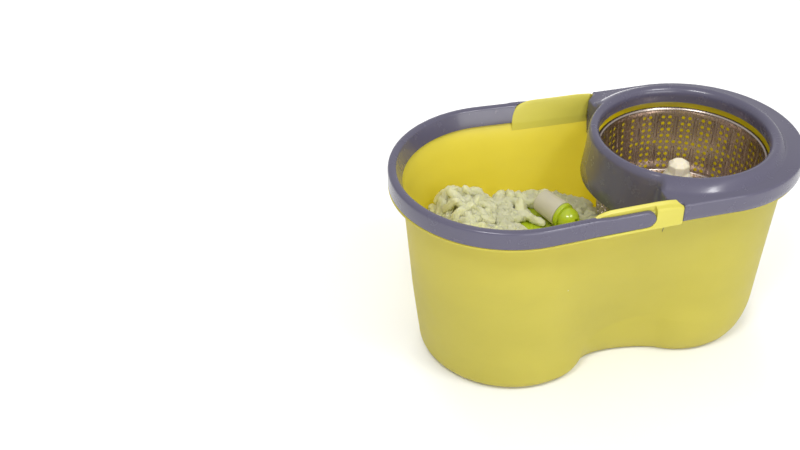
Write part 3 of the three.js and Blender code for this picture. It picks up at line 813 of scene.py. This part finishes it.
def build_basket():
    floor = DRUM["floor"]
    top_edge = TOP_ROW + ROW_PITCH / 2
    bottom_edge = TOP_ROW - ROW_PITCH * (HOLE_ROWS - 0.5)
    low_r, top_r = wall_radius(bottom_edge), wall_radius(top_edge)
    bead = []
    for k in range(15):
        a = math.radians(mix(-100, 215, k / 14))
        bead.append((
            BEAD["radius"] + BEAD["wire"] * math.cos(a),
            BEAD["height"] + BEAD["wire"] * math.sin(a),
        ))
    collar = [(top_r, top_edge), (92.2, 219.4)] + bead + [(top_r - DRUM_SHEET, top_edge)]
    pan = [
        (low_r - DRUM_SHEET, bottom_edge), (87.5, 141.9), (86.8, 141.2), (85.6, PAN_TOP),
        (72.4, PAN_TOP), (71.6, 141.1), (70.8, 142.0), (70, 142.2), (66.4, 142.2), (65.6, 141.9),
        (64.9, 141.0), (64, PAN_TOP), (FLOOR_BORE, PAN_TOP), (FLOOR_BORE, floor), (85.4, floor),
        (87.2, 140.2), (88.3, 141.3),
        (low_r, bottom_edge),
    ]
    parts = [perforated_wall(), lathe(collar, COLUMNS * 4, False), lathe(pan, COLUMNS * 4, False)]
    middle = TOP_ROW - ROW_PITCH * MIDDLE_ROW
    for col in range(COLUMNS):
        if plain_column(col):
            parts.append(rib(column_angle(col), middle + 5.0, 216.5))
            parts.append(rib(column_angle(col), bottom_edge + 2.0, middle - 5.0))
    verts, faces = merged(*parts)
    verts = moved(verts, (SPIN_X, 0, 0))
    piece("basket_shell", verts, faces, "basket", "basket_steel", ["basket_drum"], 60)


def build_column():
    """The ivory column in the basket, whose head has eight soft flats and a shallow crown."""
    base = DRUM["floor"] + 1.6
    profile = softened([
        (0, 209.6, 0), (7.2, 209.4, 0.8), (12.4, 205.4, 1.0), (12.8, 196.6, 1.0),
        (13.6, 195.2, 0.8), (17.6, 187.4, 2), (21, 177.6, 3), (25.2, 162, 4), (31, 151, 3),
        (39.5, 145.4, 1.5), (42, 144.2, 1), (42, base, 0.4), (25, base, 0.5), (21, 160, 2),
        (16.4, 177, 2), (14, 184, 1), (11.6, 184, 1), (11.6, base, 0.4),
        (9, base, 0.4), (9, 202.6, 0.6), (0, 203.2, 0),
    ], 1.0, 3, False)

    def flats(a, r, z):
        head = smoothstep(z, 192, 197)
        face = math.cos(math.pi / 8) / math.cos(a % (math.pi / 4) - math.pi / 8)
        return mix(1.0, face, head)

    verts, faces = lathe(profile, 96, False, flats)
    verts = moved(verts, (SPIN_X, 0, 0))
    piece("column_body", verts, faces, "basket", "ivory_plastic", ["centre_column"], 55)


# ---- mop head ----

HEAD = Vector((-37.0, -9.0, 136.5))
TILT = math.radians(12)
HEADING = math.radians(116)
PIN_HEIGHT = 24.5
RING_RADIUS = 74.0
head_turn = Matrix.Rotation(TILT, 3, "Y")
socket_turn = head_turn @ Matrix.Rotation(HEADING, 3, "Z")
lying = Matrix.Rotation(math.radians(90), 3, "Y")
KNUCKLE = HEAD + head_turn @ Vector((0, 0, PIN_HEIGHT))
AXIS = socket_turn @ Vector((1, 0, 0))


def build_plate():
    profile = softened([
        (9.3, -1, 0), (16, -1, 0.4), (16, -5.6, 0.4), (52, -5.6, 0.8), (52, -1, 0.4),
        (63, -1, 0.5), (65, 0.4, 0.9), (61, 3, 1.2), (40, 3.3, 1), (38.5, 4.4, 0.8),
        (36, 4.4, 0.8), (34.5, 3.4, 0.8), (22, 3.6, 2), (19, 6, 1), (9.3, 6, 0.4),
    ], 0.8)
    verts, faces = lathe(profile, 120)
    verts = moved(verts, HEAD, head_turn)
    piece("plate_shell", verts, faces, "mop_head", "lime_plastic", ["mop_plate"])
    profile = softened([
        (52.4, -6), (73, -6), (74, -5), (74, -2.6), (72.6, -1.4), (52.4, -1.4),
    ], 0.6)
    verts, faces = lathe(profile, 120)
    verts = moved(verts, HEAD, head_turn)
    piece("strand_band", verts, faces, "mop_head", "white_plastic", ["strand_ring"])


def build_socket():
    ball = 13.0
    profile = [(0.0, -ball)]
    for a in range(6, 117, 6):
        profile.append((ball * math.sin(math.radians(a)), -ball * math.cos(math.radians(a))))
    profile += softened([
        (12.4, 5.4, 0), (13.7, 5.6, 0.4), (14.7, 6.4, 0.6), (14.7, 10.7, 0.6), (10.4, 10.9, 0.3),
        (10.4, 22, 0.4), (0, 22, 0),
    ], 0.5, 3, False)
    verts, faces = lathe(profile, 96, False)
    verts = moved(verts, KNUCKLE, socket_turn @ lying)
    knuckle = piece("knuckle_shell", verts, faces, "socket", "lime_plastic", ["socket_knuckle"], 50)
    corners = ((-20, -20), (6.5, -20), (6.5, 6.5), (-20, 6.5))
    slot_verts, slot_faces = loft([[(x, y, z) for x, z in corners] for y in (-2.9, 2.9)])
    carve(knuckle, [(moved(slot_verts, KNUCKLE, socket_turn), slot_faces)])

    profile = softened([
        (10.7, 11.2, 0.3), (14.6, 11.2, 0.5), (15.3, 12.2, 0.8), (14.9, 20, 2), (14.0, 41.4, 1.2),
        (13.2, 42.8, 0.6), (11, 42.8, 0.5), (11, 23, 0.5), (10.7, 22.4, 0.2),
    ], 0.6)
    verts, faces = lathe(profile, 96)
    verts = moved(verts, KNUCKLE, socket_turn @ lying)
    piece("sleeve_shell", verts, faces, "socket", "sleeve_plastic", ["socket_sleeve"])


def build_yoke():
    profile = softened([
        (0, -1.2, 0), (9, -1.2, 0.5), (9, 6.4, 0.2), (12, 6.4, 0.5), (12, 7.6, 0.5),
        (11, 8.4, 0.5), (0, 8.4, 0),
    ], 0.5, 2, False)
    base = lathe(profile, 64, False)
    ear = [(-6.0, 8.0), (6.0, 8.0)]
    for k in range(25):
        a = math.radians(7.5 * k)
        ear.append((6 * math.cos(a), PIN_HEIGHT + 6 * math.sin(a)))
    tongue = loft([[(x, y, z) for x, z in ear] for y in (-2.5, -2.1, 2.1, 2.5)])
    verts, faces = merged(base, tongue)
    verts = moved(verts, HEAD, socket_turn)
    piece("yoke_shell", verts, faces, "yoke", "lime_plastic", ["swivel_yoke"])


# ---- strands ----

# The heap's crest along the bucket: x and height.
HEAP = (
    (-190, 158), (-168, 167), (-151, 188), (-138, 186), (-128, 177), (-112, 171), (-100, 161),
    (-84, 168), (-66, 165), (-54, 151), (-36, 165), (-24, 134), (-10, 112), (8, 124), (22, 108),
    (60, 100),
)
STRAND_RADIUS, STRAND_STEP = 5.0, 1.8
STRAND_COUNT, STRAND_TRIES = 240, 4000
# The tub's half width at its narrowest, level with the top of the foot's corner.
WAIST_WIDTH = 64.0
SOCKET = {"start": -14.0, "end": 46.0, "radius": 15.0}


def pile_height(x, y):
    """The top of the heap of strands over a place in the wash side."""
    for (x0, z0), (x1, z1) in zip(HEAP, HEAP[1:]):
        if x <= x1:
            break
    crown = mix(z0, z1, smoothstep(x, x0, x1))
    fall = 0.8 * max(0.0, y - 50.0) + 0.16 * max(0.0, 50.0 - y)
    return crown - fall + 3 * noise.noise(Vector((x / 22, y / 22, 4.0)))


def inside_tub(x, y, z, margin):
    """Whether a place is inside the wash side's wall by a margin."""
    t = (z - FOOT_RADIUS) / (WALL_TOP - FOOT_RADIUS)
    r = mix(FOOT["r1"], RIM["r1"] - WALL_INSET, t) - WALL - margin
    cx = mix(FOOT["x1"], RIM["x1"], t)
    if x < cx:
        return math.hypot(x - cx, y) < r
    side = mix(WAIST_WIDTH, half_width(0, WALL_INSET + WALL), t) - margin
    return abs(y) < mix(r, side, smoothstep(x, cx, 10.0))


def clear_of_socket(p, margin):
    along = max(SOCKET["start"], min((p - KNUCKLE).dot(AXIS), SOCKET["end"]))
    return (p - (KNUCKLE + AXIS * along)).length > SOCKET["radius"] + margin


def build_strands():
    rng = random.Random(11)
    radius = STRAND_RADIUS
    parts = []
    plate_up = head_turn @ Vector((0, 0, 1))
    window = HEAD + Vector((-39, 8, 8))
    tries = 0
    while len(parts) < STRAND_COUNT and tries < STRAND_TRIES:
        tries += 1
        x, y = rng.uniform(-180, 34), rng.uniform(-92, 92)
        if not inside_tub(x, y, 140, radius + 3) or (x > -6 and y < 30):
            continue
        layer = rng.choice((0, 0, 1, 2)) * -7.0 + rng.uniform(-5, 1) - radius
        heading = rng.uniform(0, 2 * math.pi)
        curl = rng.uniform(-0.22, 0.22)
        wave, phase = rng.uniform(2.0, 5.5), rng.uniform(0, 6.28)
        length = rng.uniform(34, 74)
        path, step = [], STRAND_STEP
        for k in range(int(length / step)):
            heading += curl * 0.5 + 0.3 * noise.noise(Vector((k * 0.14, len(parts) * 3.1, 0.5)))
            x += step * math.cos(heading)
            y += step * math.sin(heading)
            z = pile_height(x, y) + layer + wave * math.sin(k * 0.27 + phase)
            p = Vector((x, y, z))
            local = p - HEAD
            height = local.dot(plate_up)
            flat = (local - plate_up * height).length
            if flat < RING_RADIUS + 3 and height < 4.0 + radius:
                p += plate_up * (4.0 + radius - height)
            if not inside_tub(p.x, p.y, p.z, radius + 1) or not clear_of_socket(p, radius):
                break
            gap = p - window
            if math.hypot(gap.x / 19, gap.y / 9) < 1 or x > 36:
                break
            path.append(p)
        if len(path) > 7:
            parts.append(strand(path, radius * rng.uniform(0.8, 1.12), len(parts)))
    verts, faces = merged(*parts)
    piece("strand_loops", verts, faces, "mop_head", "strand_microfibre", ["mop_strands"], 180)
    build_core()


def strand(path, radius, seed):
    """One fat looped strand: a tube whose pile makes it lumpy, with round ends."""
    sides = 14
    loops = []
    up = Vector((0, 0, 1))
    last = len(path) - 1
    for k, p in enumerate(path):
        ahead = (path[min(k + 1, last)] - path[max(k - 1, 0)]).normalized()
        across = ahead.cross(up).normalized()
        over = across.cross(ahead)
        end = min(k, last - k) / 2.2
        taper = math.sqrt(1 - (1 - min(end, 1.0)) ** 2) if end < 1 else 1.0
        loop = []
        for j in range(sides):
            a = 2 * math.pi * j / sides
            place = Vector((1.9 * math.cos(a), 1.9 * math.sin(a) + seed * 7.7, k * 0.46))
            lump = noise.noise(place) + 0.6 * noise.noise(place * 2.4)
            r = radius * max(taper, 0.12) * (1 + 0.42 * lump)
            loop.append(tuple(p + across * (r * math.cos(a)) + over * (r * math.sin(a))))
        loops.append(loop)
    return loft(loops)


def build_core():
    """The inside of the heap, under the loops that show."""
    loops = []
    rings, spokes = 14, 72
    centre = Vector((-88.0, 0.0))
    edge = []
    for j in range(spokes):
        a = 2 * math.pi * j / spokes
        reach = 10.0
        while reach < 130:
            x, y = centre.x + reach * math.cos(a), centre.y + reach * math.sin(a)
            if not inside_tub(x, y, 60, 8) or x > 24 or x < -176:
                break
            reach += 1.0
        edge.append(reach)
    for k in range(rings + 1):
        t = k / rings
        loop = []
        for j in range(spokes):
            a = 2 * math.pi * j / spokes
            reach = edge[j] * max(t, 0.01)
            x, y = centre.x + reach * math.cos(a), centre.y + reach * math.sin(a)
            z = pile_height(x, y) - 20 - 26 * smoothstep(t, 0.8, 1.0) - 24 * smoothstep(x, -40, -10)
            local = Vector((x, y, z)) - HEAD
            flat = math.hypot(local.x, local.y)
            if flat < RING_RADIUS + 6:
                under = HEAD.z - 8 - math.tan(TILT) * local.x
                z = min(z, under)
            loop.append((x, y, z))
        loops.append(loop)
    skirt = []
    for j in range(spokes):
        a = 2 * math.pi * j / spokes
        reach = edge[j] * 0.74
        x, y = centre.x + 22 + reach * math.cos(a), centre.y + reach * math.sin(a) * 0.7
        skirt.append((x, y, 8.0))
    loops.append(skirt)
    verts, faces = loft(loops)
    piece("strand_heap", verts, faces, "mop_head", "strand_microfibre", [], 180)


# ---- carried-over nodes ----

def dress_carried_nodes():
    slots = {row["node"]: row["material_slot"] for row in frame["record"]["subparts"]}
    for name, obj in frame["nodes"].items():
        obj.data.materials.clear()
        obj.data.materials.append(MATERIALS[slots[name]])


# ---- stage ----

def build_floor():
    size = 6.0
    mesh = bpy.data.meshes.new("floor")
    corners = [(-size, -size, 0), (size, -size, 0), (size, size, 0), (-size, size, 0)]
    mesh.from_pydata(corners, [], [(0, 1, 2, 3)])
    floor = bpy.data.objects.new("floor", mesh)
    bpy.context.collection.objects.link(floor)
    material, tree, shader = nodes_of("floor")
    coords = tree.nodes.new("ShaderNodeTexCoord")
    cloud = noise_node(tree, coords, 3.0, 2.0)
    tint = ramp(tree, cloud, "Fac", [(0.3, (0.90, 0.90, 0.90)), (0.7, (0.93, 0.93, 0.93))])
    link(tree, tint, "Color", shader, "Base Color")
    shader.inputs["Roughness"].default_value = 0.9
    mesh.materials.append(material)


def area_light(name, place, aim, width, height, power, glossy=True):
    data = bpy.data.lights.new(name, "AREA")
    data.shape = "RECTANGLE"
    data.size, data.size_y = width, height
    data.energy = power
    light = bpy.data.objects.new(name, data)
    light.location = place
    direction = Vector(aim) - Vector(place)
    light.rotation_euler = direction.to_track_quat("-Z", "Y").to_euler()
    light.visible_glossy = glossy
    bpy.context.collection.objects.link(light)


def build_stage():
    build_floor()
    area_light("soft_left", (-0.75, -0.9, 1.9), (-0.1, 0, 0.2), 0.55, 0.4, 15)
    area_light("soft_right", (0.6, -1.0, 1.9), (0.1, 0, 0.2), 0.55, 0.4, 12)
    area_light("back", (0.15, 1.9, 0.4), (0, 0, 0.12), 1.6, 0.6, 44, False)
    area_light("front", (0.5, -2.2, 0.9), (0, 0, 0.12), 1.6, 1.0, 16)
    world = bpy.data.worlds.new("studio")
    world.use_nodes = True
    background = world.node_tree.nodes["Background"]
    background.inputs["Color"].default_value = (1, 1, 1, 1)
    background.inputs["Strength"].default_value = 0.6
    bpy.context.scene.world = world
    bpy.context.scene.view_settings.view_transform = "Standard"


def build_camera():
    azimuth, elevation, roll = (math.radians(a) for a in (-13.717, 35.656, -1.07))
    distance, aim = 1.24204, Vector((-0.226081, 0.0, 0.182832))
    back = Vector((
        math.sin(azimuth) * math.cos(elevation),
        -math.cos(azimuth) * math.cos(elevation),
        math.sin(elevation),
    ))
    data = bpy.data.cameras.new("camera")
    data.sensor_width = 36.0
    data.lens = 51.0
    camera = bpy.data.objects.new("camera", data)
    camera.location = aim + back * distance
    turn = (-back).to_track_quat("-Z", "Y") @ Quaternion((0, 0, 1), roll)
    camera.rotation_mode = "QUATERNION"
    camera.rotation_quaternion = turn
    bpy.context.collection.objects.link(camera)
    bpy.context.scene.camera = camera


build_camera()
make_materials()
build_stage()
dress_carried_nodes()
build_tub()
build_handle()
build_guard()
build_basket()
build_column()
build_plate()
build_yoke()
build_socket()
build_strands()
